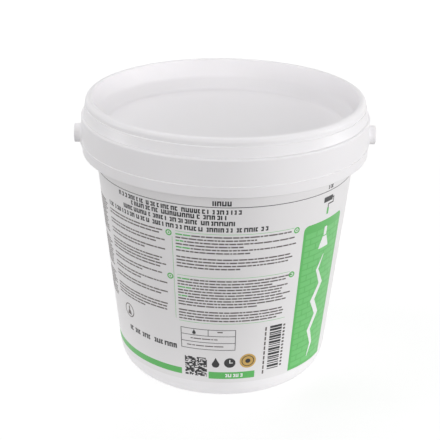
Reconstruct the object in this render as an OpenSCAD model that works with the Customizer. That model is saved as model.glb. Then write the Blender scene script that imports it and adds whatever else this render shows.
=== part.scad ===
// Round wall filler tub with a press-on lid, a wrap label and its filling of paste.
// Sizes are in millimetres. The origin is the centre of the underside of the standing ring,
// Z points up and the two handle studs point along X.

/* [Tub wall] */
// Height of the rim above the surface the tub stands on
rim_z = 132; // [120:0.1:145]
// Outer radius of the rim
rim_r = 63; // [60:0.1:66]
// Outer radius where the line of the wall meets the base plane
base_r = 48.8; // [46:0.1:51]
// Thickness of the moulded wall
wall_t = 0.95; // [0.8:0.05:1.2]
// Distance from the rim down to the foot of the stacking shoulder
shoulder_drop = 22.4; // [20:0.1:24]
// Height over which the shoulder widens the wall
shoulder_h = 1.6; // [1:0.1:3]
// Distance that the shoulder steps outward
shoulder_step = 0.62; // [0.5:0.02:1.2]

/* [Tub base] */
// Thickness of the base
base_t = 1.2; // [0.9:0.1:1.6]
// Rounding of the outer corner between base and wall
base_corner_r = 10.5; // [8:0.1:13]
// Inner radius of the standing ring
foot_in_r = 36.2; // [30:0.1:37]
// Height of the recessed middle of the base
base_recess = 2.2; // [1:0.1:3.5]
// Radial run of the slope from the standing ring to the recess
recess_run = 2.4; // [1.5:0.1:4]
// Radius of the gate mark in the middle of the base
gate_r = 4; // [2:0.5:8]
// Depth of the gate mark
gate_depth = 0.4; // [0.2:0.1:0.6]

/* [Rim bead and collar] */
// Distance that the closing bead stands out from the rim
bead_w = 0.7; // [0.4:0.05:0.9]
// Distance from the rim down to the top of the closing bead
bead_drop = 3.4; // [3.2:0.1:4.2]
// Height of the closing bead
bead_h = 1.6; // [1:0.1:2]
// Distance from the rim down to the top of the collar
collar_drop = 6.7; // [6.5:0.1:9]
// Distance that the collar stands out beyond the rim
collar_w = 3.3; // [2.8:0.1:5]
// Height of the collar
collar_h = 17.4; // [14:0.1:18]
// Thickness of the collar and of the flange that carries it
collar_t = 1.2; // [0.9:0.1:1.6]
// Radius that the collar loses from its top edge to the band
collar_taper = 0.3; // [0:0.05:0.6]
// Height of the plain band round the foot of the collar
band_h = 5.1; // [3:0.1:6]
// Distance that the band stands proud of the collar
band_w = 0.2; // [0.1:0.05:0.5]
// Number of stiffening ribs between collar and wall
rib_count = 16; // [8:2:32]
// Thickness of a rib
rib_t = 1; // [0.8:0.1:1.6]
// Distance from the top of the collar to the foot of a rib
rib_drop = 11; // [6:0.5:14]

/* [Handle studs] */
// Radius of a stud
stud_r = 4.4; // [3.5:0.1:5]
// Distance from the face of the collar to the tip of a stud
stud_len = 3.4; // [2.6:0.1:4]
// Distance from the top of the collar down to the axis of the studs
stud_drop = 11.1; // [9:0.1:12]
// Fillet at the root of a stud
stud_root_round = 1.6; // [0.6:0.1:1.8]
// Rounding of the tip of a stud
stud_tip_round = 0.5; // [0.3:0.1:1]
// Wall left round the hollow core of a stud
stud_wall = 1.3; // [1:0.1:2]
// Distance from the axis of a stud down to the axis of the cone that braces it
stud_foot_drop = 1.6; // [1:0.1:2.2]
// Radius of the bracing cone where it meets the collar
stud_foot_r = 6.2; // [5.2:0.1:7.2]
// Distance that the bracing cone stands out from the collar
stud_foot_w = 1.4; // [1:0.1:2]

/* [Lid] */
// Thickness of the lid
lid_t = 0.8; // [0.6:0.05:1]
// Gap between the seated lid and the tub
fit_gap = 0.3; // [0.2:0.05:0.4]
// Depth of the stacking recess below the crest
recess_depth = 14.5; // [12:0.1:16]
// Depth below the crest at which the plug wall ends and the slope begins
step_depth = 9; // [7:0.1:11]
// Radius that the plug wall loses from the crest down to the slope
plug_taper = 1.1; // [0.6:0.1:2]
// Radial run of the slope from the plug wall to the flat panel
slope_run = 4; // [2:0.1:6]
// Gap between the rim and the crest above it
crest_gap = 0.6; // [0.4:0.1:1]
// Gap between the closing bead and the small ledge on the outside of the lid above it
ledge_gap = 0.5; // [0.3:0.1:1]
// Width of the small ledge
ledge_w = 0.35; // [0.2:0.05:0.6]
// Gap between the edge of the seated skirt and the collar below it
seat_gap = 0.02; // [0.02:0.01:0.3]
// Distance that the closing hook stands in from the edge of the skirt
hook_w = 0.45; // [0.35:0.05:0.7]
// Height of the closing hook's foot above the edge of the skirt
hook_rise = 0.2; // [0.2:0.05:0.6]
// Half of the height of the closing hook
hook_half_h = 0.7; // [0.5:0.1:0.8]

/* [Label] */
// Thickness of the label film
label_t = 0.12; // [0.08:0.01:0.2]
// Thin layer between the film and the wall
label_gap = 0.04; // [0.03:0.01:0.06]
// Bare margin between the rounded base corner and the label
label_foot_margin = 1.35; // [0.5:0.05:5]
// Bare margin between the label and the foot of the collar
label_head_margin = 1.1; // [0.5:0.1:8]
// Width of the open seam at the back of the label
label_seam_w = 1.5; // [0.8:0.1:4]

/* [Filling] */
// Height of the free space between the paste and the lid
headspace = 5.6; // [5:0.1:12]
// Thin layer kept free between the paste and the tub
paste_gap = 0.05; // [0.03:0.01:0.1]
// Depth of the trowelled hollow in the top of the paste
paste_dish = 1.6; // [0.8:0.1:3]
// Radius of the trowelled hollow at the level of the paste
paste_dish_r = 46; // [38:0.5:50]
// Radius of the low mound left in the middle of the hollow
paste_mound_r = 17; // [12:0.5:22]

/* [Hidden] */
$fn = 180;
// Largest distance between a rounded corner and the chords that stand for it
chord_error = 0.015;
fewest_chords = 3;
full_turn = 360;
half_turn = 180;
// How far a cut reaches past the face that it opens
cut_overrun = 1;

// Roundings of the smaller corners
recess_round = 1.2;
foot_round = 0.8;
shoulder_round = 0.8;
channel_round = 0.5;
collar_foot_round = 0.45;
band_round = 0.12;
collar_top_round = 1.1;
flange_root_round = 0.4;
bead_round = 0.55;
panel_round = 2.6;
step_round = 4;
skirt_edge_round = 0.05;
skirt_in_round = 0.12;
hook_round = 0.3;
paste_round = 6;

// Roundings as shares of the widths that they take up
rim_out_share = 0.65;
rim_in_share = 0.2;
crest_out_share = 0.68;
crest_in_share = 0.28;
ledge_round_share = 0.5;
// How far the tip of a stud's bracing cone stays inside the stud
stud_foot_inset = 0.3;

// Places that follow from the sizes of the tub
shoulder_z = rim_z - shoulder_drop;
shoulder_head_z = shoulder_z + shoulder_h;
draft = (rim_r - shoulder_step - base_r) / rim_z;
draft_angle = atan(draft);
corner_end_z = base_corner_r * (1 - sin(draft_angle));
bead_r = rim_r + bead_w;
bead_top_z = rim_z - bead_drop;
bead_foot_z = bead_top_z - bead_h;
collar_r = rim_r + collar_w;
collar_top_z = rim_z - collar_drop;
collar_foot_z = collar_top_z - collar_h;
flange_under_z = collar_top_z - collar_t;
band_z = collar_foot_z + band_h;
band_r = collar_r - collar_taper + band_w;
collar_foot_r = collar_r - collar_taper;
collar_in_r = collar_foot_r - collar_t;
rib_foot_z = collar_top_z - rib_drop;
stud_z = collar_top_z - stud_drop;
stud_tip_r = collar_r + stud_len;
stud_flare_r = stud_r + stud_root_round;
stud_root_x = sqrt(collar_foot_r * collar_foot_r - stud_flare_r * stud_flare_r);
stud_core_r = stud_r - stud_wall;
stud_foot_tip_r = stud_r - stud_foot_drop - stud_foot_inset;
stud_foot_flare = (stud_foot_r - stud_foot_tip_r) / stud_foot_w;

// Places that follow from the seat of the lid on the rim
lid_top_z = rim_z + crest_gap + lid_t;
crest_r = rim_r + fit_gap + lid_t;
plug_r = rim_r - wall_t - fit_gap - lid_t;
step_r = plug_r - plug_taper;
step_z = lid_top_z - step_depth;
panel_r = step_r - slope_run;
panel_z = lid_top_z - recess_depth;
crest_w = crest_r - plug_r;
crest_in_round = crest_w * crest_in_share;
crest_out_round = crest_w * crest_out_share;
ledge_z = bead_top_z + ledge_gap + lid_t;
ledge_r = crest_r + ledge_w;
ledge_round = ledge_w * ledge_round_share;
hook_r = bead_r + fit_gap;
skirt_r = hook_r + hook_w + lid_t;
skirt_z = collar_top_z + seat_gap;
skirt_lean = norm([skirt_r - ledge_r, ledge_z - skirt_z]) / (ledge_z - skirt_z);
hook_z = skirt_z + hook_rise + hook_half_h;

// Places that follow for the label and the paste
label_foot_z = corner_end_z + label_foot_margin;
label_head_z = collar_foot_z - label_head_margin;
paste_z = panel_z - lid_t - headspace;

// Outer radius of the wall below and above the stacking shoulder
function wall_r(z) = base_r + draft * z;
function neck_r(z) = wall_r(z) + shoulder_step;

// Radius of the outside and of the inside of the lid's skirt at a height
function skirt_out_r(z) = skirt_r + (ledge_r - skirt_r) * (z - skirt_z) / (ledge_z - skirt_z);
function skirt_in_r(z) = skirt_out_r(z) - lid_t * skirt_lean;

function unit(v) = v / norm(v);
function place(corner) = [corner[0], corner[1]];

// Chords of the arc that rounds corner b between its neighbours a and c
function corner_arc(a, b, c, radius) =
    let(
        to_a = unit(a - b),
        to_c = unit(c - b),
        half_angle = acos(to_a * to_c) / 2,
        centre = b + unit(to_a + to_c) * radius / sin(half_angle),
        start = b + to_a * radius / tan(half_angle) - centre,
        end = b + to_c * radius / tan(half_angle) - centre,
        first_angle = atan2(start[1], start[0]),
        swing = atan2(end[1], end[0]) - first_angle,
        turn = (swing + full_turn + half_turn) % full_turn - half_turn,
        chord_turn = 2 * acos(max(1 - chord_error / radius, 0)),
        chords = max(fewest_chords, ceil(abs(turn) / chord_turn))
    )
    [
        for (i = [0 : chords])
            let(angle = first_angle + turn * i / chords)
            centre + radius * [cos(angle), sin(angle)]
    ];

// Closed outline through corners that each hold a radius, a height and a rounding
function rounded(corners) =
    let(count = len(corners))
    [
        for (i = [0 : count - 1])
            let(
                before = place(corners[(i + count - 1) % count]),
                here = place(corners[i]),
                after = place(corners[(i + 1) % count]),
                radius = corners[i][2]
            )
            each radius > 0 ? corner_arc(before, here, after, radius) : [here]
    ];

// Direction square to the line from a to b, to its right
function right_of(a, b) =
    let(along = unit(b - a))
    [along[1], -along[0]];

// The far side of a skin of even thickness, in reverse order, with each corner's far rounding
function far_skin(corners, thickness) =
    let(last = len(corners) - 1)
    [
        for (i = [last : -1 : 0])
            let(
                here = place(corners[i]),
                before = i > 0 ? right_of(place(corners[i - 1]), here) : undef,
                after = i < last ? right_of(here, place(corners[i + 1])) : undef
            )
            concat(
                i == 0 ? here + thickness * after
                : i == last ? [here[0] + thickness / before[0], here[1]]
                : here + (before + after) * thickness / (1 + before * after),
                corners[i][3]
            )
    ];

// Walls and floor of the space inside the tub, drawn in by a margin
function cavity(margin) = [
    [neck_r(shoulder_head_z) - wall_t - margin, shoulder_head_z, shoulder_round],
    [wall_r(shoulder_z) - wall_t - margin, shoulder_z, shoulder_round],
    [wall_r(base_t + margin) - wall_t - margin, base_t + margin, base_corner_r - wall_t - margin],
    [foot_in_r, base_t + margin, foot_round],
    [foot_in_r - recess_run, base_recess + base_t + margin, recess_round],
    [0, base_recess + base_t + margin, 0]
];

tub_underside = [
    [0, base_recess + gate_depth, 0],
    [gate_r, base_recess + gate_depth, 0],
    [gate_r, base_recess, 0],
    [foot_in_r - recess_run, base_recess, recess_round],
    [foot_in_r, 0, foot_round],
    [base_r, 0, base_corner_r]
];

tub_outside = [
    [wall_r(shoulder_z), shoulder_z, shoulder_round],
    [neck_r(shoulder_head_z), shoulder_head_z, shoulder_round],
    [neck_r(flange_under_z), flange_under_z, channel_round],
    [collar_in_r, flange_under_z, channel_round],
    [collar_in_r, collar_foot_z, collar_foot_round],
    [collar_foot_r, collar_foot_z, collar_foot_round],
    [band_r, band_z, band_round],
    [collar_foot_r, band_z, band_round],
    [collar_r, collar_top_z, collar_top_round],
    [neck_r(collar_top_z), collar_top_z, flange_root_round],
    [neck_r(bead_foot_z), bead_foot_z, 0],
    [bead_r, bead_foot_z, bead_round],
    [bead_r, bead_top_z, bead_round],
    [neck_r(bead_top_z), bead_top_z, 0],
    [rim_r, rim_z, wall_t * rim_out_share],
    [rim_r - wall_t, rim_z, wall_t * rim_in_share]
];

// Corners of the lid's upper skin, each with its rounding and that of the skin's far side
lid_skin = [
    [0, panel_z, 0, 0],
    [panel_r, panel_z, panel_round, panel_round + lid_t],
    [step_r, step_z, step_round, step_round + lid_t],
    [plug_r, lid_top_z, crest_in_round, max(crest_in_round - lid_t, 0)],
    [crest_r, lid_top_z, crest_out_round, crest_out_round - lid_t],
    [crest_r, ledge_z, ledge_round, ledge_round],
    [ledge_r, ledge_z, ledge_round, 0],
    [skirt_r, skirt_z, skirt_edge_round, skirt_in_round]
];

lid_far_skin = far_skin(lid_skin, lid_t);

lid_hook = [
    [skirt_in_r(hook_z - hook_half_h), hook_z - hook_half_h, 0],
    [hook_r, hook_z, hook_round],
    [skirt_in_r(hook_z + hook_half_h), hook_z + hook_half_h, 0]
];

// The skin from the middle out to the edge of the skirt, up past the hook and back
lid_outline = concat(
    lid_skin,
    [lid_far_skin[0]],
    lid_hook,
    [for (i = [1 : len(lid_far_skin) - 1]) lid_far_skin[i]]
);

// A filling up to the rim, and the space above the trowelled paste that is cut from it
brimful = concat([[0, rim_z, 0], [rim_r - wall_t - paste_gap, rim_z, 0]], cavity(paste_gap));

above_paste = [
    [0, paste_z - paste_dish / 2, 0],
    [paste_mound_r, paste_z - paste_dish, paste_round],
    [paste_dish_r, paste_z, paste_round],
    [rim_r, paste_z, 0],
    [rim_r, rim_z + cut_overrun, 0],
    [0, rim_z + cut_overrun, 0]
];

stud_outline = [
    [0, collar_in_r + collar_t / 2, 0],
    [stud_flare_r, collar_in_r + collar_t / 2, 0],
    [stud_flare_r, stud_root_x, 0],
    [stud_r, stud_root_x, stud_root_round],
    [stud_r, stud_tip_r, stud_tip_round],
    [0, stud_tip_r, 0]
];

// Turns its children from standing along Z to lying along X, out of one side of the collar
module at_stud(side, drop = 0) {
    translate([0, 0, stud_z - drop])
        rotate([0, side * full_turn / 4, 0])
            children();
}

// One stud with its root fillet and the cone that braces it, both ending above the collar's foot
module stud(side) {
    intersection() {
        union() {
            at_stud(side)
                rotate_extrude()
                    polygon(rounded(stud_outline));
            at_stud(side, stud_foot_drop)
                translate([0, 0, collar_in_r + collar_t / 2])
                    cylinder(
                        r1 = stud_foot_r + stud_foot_flare * collar_t / 2,
                        r2 = stud_foot_tip_r,
                        h = collar_t / 2 + stud_foot_w
                    );
        }
        translate([0, 0, collar_foot_z + collar_foot_round])
            cylinder(r = stud_tip_r + cut_overrun, h = collar_h - collar_foot_round);
    }
}

// One rib between the wall and the collar, under the flange
module collar_rib() {
    rotate([full_turn / 4, 0, 0])
        linear_extrude(height = rib_t, center = true)
            polygon([
                [neck_r(rib_foot_z) - wall_t / 2, rib_foot_z],
                [collar_in_r + collar_t / 2, rib_foot_z],
                [collar_in_r + collar_t / 2, flange_under_z + collar_t / 2],
                [neck_r(flange_under_z) - wall_t / 2, flange_under_z + collar_t / 2]
            ]);
}

module tub() {
    color("whitesmoke")
        difference() {
            union() {
                rotate_extrude()
                    polygon(rounded(concat(tub_underside, tub_outside, cavity(0))));
                for (i = [0 : rib_count - 1])
                    rotate([0, 0, full_turn * (i + 1 / 2) / rib_count])
                        collar_rib();
                for (side = [-1, 1])
                    stud(side);
            }
            for (side = [-1, 1])
                at_stud(side)
                    translate([0, 0, collar_in_r - cut_overrun])
                        cylinder(r = stud_core_r, h = stud_tip_r - stud_wall - collar_in_r + cut_overrun);
        }
}

module lid() {
    color("white")
        rotate_extrude()
            polygon(rounded(lid_outline));
}

module label() {
    seam_angle = label_seam_w / (2 * PI * wall_r(label_head_z)) * full_turn;
    color("gainsboro")
        rotate([0, 0, full_turn / 4 + seam_angle / 2])
            rotate_extrude(angle = full_turn - seam_angle)
                polygon([
                    [wall_r(label_foot_z) + label_gap, label_foot_z],
                    [wall_r(label_foot_z) + label_gap + label_t, label_foot_z],
                    [wall_r(label_head_z) + label_gap + label_t, label_head_z],
                    [wall_r(label_head_z) + label_gap, label_head_z]
                ]);
}

module filler_paste() {
    color("ivory")
        difference() {
            rotate_extrude()
                polygon(rounded(brimful));
            rotate_extrude()
                polygon(rounded(above_paste));
        }
}

tub();
lid();
label();
filler_paste();
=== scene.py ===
# %% [markdown]
# # Dressing a tub of wall filler
# The object is a one litre tub of ready-mixed wall filler: a white tapered tub with a hanging
# collar, a press-on lid with a deep recess for stacking, a printed film round the wall and the
# paste inside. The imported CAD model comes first, as a fixed frame. Every piece made below is
# written in the same frame, so nothing has to be fitted by eye afterwards.

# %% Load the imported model
import math
import random

import bpy
from mathutils import Matrix, Vector, noise


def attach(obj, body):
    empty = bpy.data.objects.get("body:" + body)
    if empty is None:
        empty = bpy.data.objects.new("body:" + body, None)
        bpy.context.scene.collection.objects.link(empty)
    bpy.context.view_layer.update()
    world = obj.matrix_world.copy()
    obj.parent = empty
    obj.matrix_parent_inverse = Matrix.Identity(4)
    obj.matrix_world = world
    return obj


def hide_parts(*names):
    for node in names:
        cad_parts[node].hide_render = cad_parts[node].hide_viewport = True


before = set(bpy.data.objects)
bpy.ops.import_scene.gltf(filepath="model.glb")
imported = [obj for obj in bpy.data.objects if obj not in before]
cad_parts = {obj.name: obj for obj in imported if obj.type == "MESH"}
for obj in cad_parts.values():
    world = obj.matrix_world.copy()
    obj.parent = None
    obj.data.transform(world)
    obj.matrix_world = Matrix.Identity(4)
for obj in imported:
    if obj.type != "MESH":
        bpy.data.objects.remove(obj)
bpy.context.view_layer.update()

MM = 0.001

# %% [markdown]
# ## Rounded outlines
# A moulding never has a knife-sharp corner, because molten plastic would not fill it and a steel
# mould could not be cut that way. Each corner of an outline is therefore written as three
# numbers: radius from the axis, height, and rounding. A bevel modifier could round the corners
# afterwards, but it gives every corner the same width, and here they run from 0.1 to 10 mm.

# %% Turn corners into short arcs
ARC_STEP = math.radians(9)
FEWEST_ARC_STEPS = 3


def rounded(corners):
    """Points of an outline whose corners (radius, height, rounding in mm) become arcs."""
    points = []
    for i, (r, z, rounding) in enumerate(corners):
        here = Vector((r, z))
        if rounding == 0:
            points.append(here)
            continue
        back = (Vector(corners[i - 1][:2]) - here).normalized()
        on = (Vector(corners[(i + 1) % len(corners)][:2]) - here).normalized()
        half = back.angle(on) / 2
        centre = here + (back + on).normalized() * rounding / math.sin(half)
        start = here + back * rounding / math.tan(half) - centre
        end = here + on * rounding / math.tan(half) - centre
        swing = math.pi - 2 * half
        steps = max(FEWEST_ARC_STEPS, math.ceil(swing / ARC_STEP))
        way = 1 if start.cross(end) > 0 else -1
        for k in range(steps + 1):
            points.append(centre + Matrix.Rotation(way * swing * k / steps, 2) @ start)
    return points


print("a 2 mm rounding of a square corner takes",
      len(rounded([(0, 0, 0), (10, 0, 2), (10, 10, 0)])) - 2, "points")

# %% [markdown]
# ## Spinning an outline
# The tub, the lid and the paste are all turned shapes. Blender's Screw modifier spins an outline
# too, but it leaves a stack of doubled points on the axis. In mesh code a point on the axis is
# one vertex, so the solid is closed and clean.

# %% Spin an outline round the axis
SEGMENTS = 192
ON_AXIS = 1e-6


def spun(outline):
    """Vertices and faces of a closed solid of revolution, from an outline in mm.
    The outline starts on the axis at the underside and ends on the axis at the top."""
    vertices, rings, faces = [], [], []
    for r, z in outline:
        first = len(vertices)
        if r < ON_AXIS:
            vertices.append((0, 0, z * MM))
            rings.append([first] * SEGMENTS)
            continue
        for i in range(SEGMENTS):
            turn = 2 * math.pi * i / SEGMENTS
            vertices.append((r * MM * math.cos(turn), r * MM * math.sin(turn), z * MM))
        rings.append(list(range(first, first + SEGMENTS)))
    for low, high in zip(rings, rings[1:]):
        for i in range(SEGMENTS):
            j = (i + 1) % SEGMENTS
            face = list(dict.fromkeys([low[i], low[j], high[j], high[i]]))
            if len(face) > 2:
                faces.append(face)
    return vertices, faces


print("a turned solid has", SEGMENTS, "sides")

# %% [markdown]
# ## From numbers to a piece
# A piece needs the same handful of steps each time: a mesh, an object, a material, smooth
# shading, and the ties to the model (which body it moves with, and which CAD node it stands for,
# which is then hidden). Smooth shading alone would smear the light round small roundings, so
# corners over 35 degrees are marked sharp and a Weighted Normal modifier lets the large faces
# decide the direction in which the surface looks.

# %% Make a piece
SHARP = math.radians(35)


def piece(name, shape, material, body, node=None):
    """A shaded mesh object that moves with a body and may stand for a CAD node."""
    vertices, faces = shape
    mesh = bpy.data.meshes.new(name)
    mesh.from_pydata(vertices, [], faces)
    mesh.materials.append(material)
    mesh.polygons.foreach_set("use_smooth", [True] * len(mesh.polygons))
    mesh.set_sharp_from_angle(angle=SHARP)
    obj = bpy.data.objects.new(name, mesh)
    bpy.context.scene.collection.objects.link(obj)
    even = obj.modifiers.new("even_shading", "WEIGHTED_NORMAL")
    even.keep_sharp = True
    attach(obj, body)
    if node:
        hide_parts(node)
    print(f"{name}: {len(mesh.vertices)} vertices, {len(mesh.polygons)} faces, on {body}")
    return obj


# %% [markdown]
# ## Nodes and colours
# Two small helpers carry all the materials. Colours are written as the hex values that a paint
# program shows, and one function turns them into the linear values that the renderer mixes.
# Another adds a node, sets its options and fills its sockets with values or with links. A socket
# is given by its name, or by its number where several sockets of a node share one name.

# %% Helpers for materials
def linear(hex_colour):
    """An sRGB hex colour as linear red, green, blue and alpha, by the curve of that standard."""
    channels = [int(hex_colour[i:i + 2], 16) / 255 for i in (1, 3, 5)]
    return [c / 12.92 if c <= 0.04045 else ((c + 0.055) / 1.055) ** 2.4 for c in channels] + [1]


def add_node(tree, kind, sockets=None, **options):
    """One node with its options set and its sockets filled by values or links."""
    new = tree.nodes.new(kind)
    for option, value in options.items():
        setattr(new, option, value)
    for socket, value in (sockets or {}).items():
        if isinstance(value, bpy.types.NodeSocket):
            tree.links.new(value, new.inputs[socket])
        else:
            new.inputs[socket].default_value = value
    return new


def new_material(name, settings):
    """A material with its shader's plain sockets set, and its tree, shader and coordinates."""
    material = bpy.data.materials.new(name)
    material.use_nodes = True
    tree = material.node_tree
    shader = tree.nodes["Principled BSDF"]
    for socket, value in settings.items():
        shader.inputs[socket].default_value = value
    place = add_node(tree, "ShaderNodeTexCoord").outputs["Object"]
    return material, tree, shader, place


print("mid grey #808080 is linear", round(linear("#808080")[0], 3))

# %% [markdown]
# ## Moulded polypropylene
# Tub and lid are injection moulded polypropylene coloured white. The steel mould was polished
# but not mirror bright, so the surface is satin: highlights are soft and wide, with a very faint
# orange peel where the plastic shrank as it cooled. Polypropylene has an IOR of 1.49, and a
# little light travels inside it, which softens the shade at the edges. The colour drifts by a
# hair from place to place, as it does where the wall is thinner or the melt met itself.

# %% Material of the mouldings
FLOW_CLOUD = 45 * MM
SATIN_PATCH = 6 * MM
# Real orange peel is about 0.5 mm across; it is drawn at 1.2 mm so that it shows in the render.
ORANGE_PEEL = 1.2 * MM
PEEL_DEPTH = 0.012 * MM
# Most of a noise texture lies between these two values, and roughness then varies by the spread.
NOISE_LOW, NOISE_HIGH, SATIN_SPREAD = 0.3, 0.7, 0.03


def moulded_polypropylene(name, light, shade, roughness):
    material, tree, shader, place = new_material(name, {
        "IOR": 1.49,
        # Matched to the photograph, which has weaker reflections than the usual level of 0.5.
        "Specular IOR Level": 0.32,
        "Subsurface Weight": 0.12,
        "Subsurface Radius": (1.0, 0.95, 0.85),
        "Subsurface Scale": 1.0 * MM,
    })
    cloud = add_node(tree, "ShaderNodeTexNoise",
                     {"Vector": place, "Scale": 1 / FLOW_CLOUD, "Detail": 2})
    tint = add_node(tree, "ShaderNodeMix",
                    {0: cloud.outputs["Fac"], 6: linear(light), 7: linear(shade)},
                    data_type="RGBA")
    satin = add_node(tree, "ShaderNodeTexNoise",
                     {"Vector": place, "Scale": 1 / SATIN_PATCH, "Detail": 3})
    sheen = add_node(tree, "ShaderNodeMapRange",
                     {0: satin.outputs["Fac"], 1: NOISE_LOW, 2: NOISE_HIGH,
                      3: roughness - SATIN_SPREAD, 4: roughness + SATIN_SPREAD})
    peel = add_node(tree, "ShaderNodeTexNoise",
                    {"Vector": place, "Scale": 1 / ORANGE_PEEL, "Detail": 1})
    bump = add_node(tree, "ShaderNodeBump",
                    {"Height": peel.outputs["Fac"], "Strength": 0.5, "Distance": PEEL_DEPTH})
    tree.links.new(tint.outputs[2], shader.inputs["Base Color"])
    tree.links.new(sheen.outputs[0], shader.inputs["Roughness"])
    tree.links.new(bump.outputs[0], shader.inputs["Normal"])
    return material


tub_plastic = moulded_polypropylene("moulded_polypropylene_tub", "#F6F4F6", "#F1EFF1", 0.40)
lid_plastic = moulded_polypropylene("moulded_polypropylene_lid", "#F6F4F6", "#F2F0F2", 0.38)
print("materials:", tub_plastic.name, lid_plastic.name)

# %% [markdown]
# ## The tub
# The wall leans out a little, so that the moulding drops off its core and empty tubs nest. Near
# the top it steps out over a stacking shoulder, then carries a flange with a collar that hangs
# down like a skirt and ends in a plain band. Above the collar the rim has a bead that the lid
# snaps over. The base stands on a ring, with its middle raised so that the tub cannot rock on
# the mark that the injection point leaves there. One outline holds all of it.

# %% Spin the tub
RIM_Z, RIM_R, BASE_R, WALL_T = 132.0, 63.0, 48.8, 0.95
SHOULDER_Z, SHOULDER_H, SHOULDER_STEP = 109.6, 1.6, 0.62
BASE_T, BASE_ROUND, FOOT_R, RECESS_H, RECESS_RUN = 1.2, 10.5, 36.2, 2.2, 2.4
GATE_R, GATE_DEPTH = 4, 0.4
BEAD_R, BEAD_Z, BEAD_H = 63.7, 127.0, 1.6
COLLAR_R, COLLAR_TOP, COLLAR_FOOT, COLLAR_T, COLLAR_TAPER = 66.29, 125.3, 107.9, 1.2, 0.3
BAND_H, BAND_W = 5.1, 0.2
SHOULDER_ROUND, FOOT_ROUND, RECESS_ROUND, FLANGE_ROUND = 0.8, 0.8, 1.2, 0.5
COLLAR_FOOT_ROUND, COLLAR_TOP_ROUND, BAND_ROUND = 0.45, 1.1, 0.12
NECK_ROUND, BEAD_ROUND, RIM_OUT_ROUND, RIM_IN_ROUND = 0.4, 0.55, 0.62, 0.19
COLLAR_LOW_R = COLLAR_R - COLLAR_TAPER
COLLAR_IN_R = COLLAR_LOW_R - COLLAR_T
BAND_TOP, BAND_R = COLLAR_FOOT + BAND_H, COLLAR_LOW_R + BAND_W
FLANGE_UNDER = COLLAR_TOP - COLLAR_T
DRAFT = (RIM_R - SHOULDER_STEP - BASE_R) / RIM_Z


def wall_r(z):
    """Outer radius of the wall below the stacking shoulder."""
    return BASE_R + DRAFT * z


def neck_r(z):
    """Outer radius of the wall above the stacking shoulder."""
    return wall_r(z) + SHOULDER_STEP


def cavity(margin):
    """Corners of the inside, from the shoulder down to the middle of the base."""
    head_z, floor = SHOULDER_Z + SHOULDER_H, BASE_T + margin
    return [
        (neck_r(head_z) - WALL_T - margin, head_z, SHOULDER_ROUND),
        (wall_r(SHOULDER_Z) - WALL_T - margin, SHOULDER_Z, SHOULDER_ROUND),
        (wall_r(floor) - WALL_T - margin, floor, BASE_ROUND - WALL_T - margin),
        (FOOT_R, floor, FOOT_ROUND),
        (FOOT_R - RECESS_RUN, RECESS_H + floor, RECESS_ROUND),
        (0, RECESS_H + floor, 0),
    ]


tub_corners = [
    (0, RECESS_H + GATE_DEPTH, 0),
    (GATE_R, RECESS_H + GATE_DEPTH, 0),
    (GATE_R, RECESS_H, 0),
    (FOOT_R - RECESS_RUN, RECESS_H, RECESS_ROUND),
    (FOOT_R, 0, FOOT_ROUND),
    (BASE_R, 0, BASE_ROUND),
    (wall_r(SHOULDER_Z), SHOULDER_Z, SHOULDER_ROUND),
    (neck_r(SHOULDER_Z + SHOULDER_H), SHOULDER_Z + SHOULDER_H, SHOULDER_ROUND),
    (neck_r(FLANGE_UNDER), FLANGE_UNDER, FLANGE_ROUND),
    (COLLAR_IN_R, FLANGE_UNDER, FLANGE_ROUND),
    (COLLAR_IN_R, COLLAR_FOOT, COLLAR_FOOT_ROUND),
    (COLLAR_LOW_R, COLLAR_FOOT, COLLAR_FOOT_ROUND),
    (BAND_R, BAND_TOP, BAND_ROUND),
    (COLLAR_LOW_R, BAND_TOP, BAND_ROUND),
    (COLLAR_R, COLLAR_TOP, COLLAR_TOP_ROUND),
    (neck_r(COLLAR_TOP), COLLAR_TOP, NECK_ROUND),
    (neck_r(BEAD_Z), BEAD_Z, 0),
    (BEAD_R, BEAD_Z, BEAD_ROUND),
    (BEAD_R, BEAD_Z + BEAD_H, BEAD_ROUND),
    (neck_r(BEAD_Z + BEAD_H), BEAD_Z + BEAD_H, 0),
    (RIM_R, RIM_Z, RIM_OUT_ROUND),
    (RIM_R - WALL_T, RIM_Z, RIM_IN_ROUND),
]
piece("tub_shell", spun(rounded(tub_corners + cavity(0))), tub_plastic, "tub", "tub")

# %% [markdown]
# ## Ribs under the flange
# A thin collar that hangs free would buckle when the tub is lifted by it. Sixteen small webs
# between the collar and the wall stop that. They sit in the narrow channel behind the collar and
# show only from below. An Array modifier round an empty would do it, but plain code keeps the
# pattern's count and its half-step turn in view.

# %% Build the ribs
RIB_COUNT, RIB_T, RIB_DROP, RIB_ROOT = 16, 1.0, 11, 0.3
RIB_LOOP = [(0, 1, 2, 3), (4, 7, 6, 5), (0, 4, 5, 1), (1, 5, 6, 2), (2, 6, 7, 3), (3, 7, 4, 0)]


def collar_ribs():
    vertices, faces = [], []
    foot, head = COLLAR_TOP - RIB_DROP, FLANGE_UNDER + RIB_ROOT
    corners = [(neck_r(foot) - RIB_ROOT, foot), (COLLAR_IN_R + RIB_ROOT, foot),
               (COLLAR_IN_R + RIB_ROOT, head), (neck_r(head) - RIB_ROOT, head)]
    for i in range(RIB_COUNT):
        turn = Matrix.Rotation(2 * math.pi * (i + 0.5) / RIB_COUNT, 3, "Z")
        first = len(vertices)
        for side in (-RIB_T / 2, RIB_T / 2):
            vertices += [turn @ Vector((r, side, z)) * MM for r, z in corners]
        faces += [[first + k for k in loop] for loop in RIB_LOOP]
    return vertices, faces


piece("collar_ribs", collar_ribs(), tub_plastic, "tub", "tub")

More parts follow.
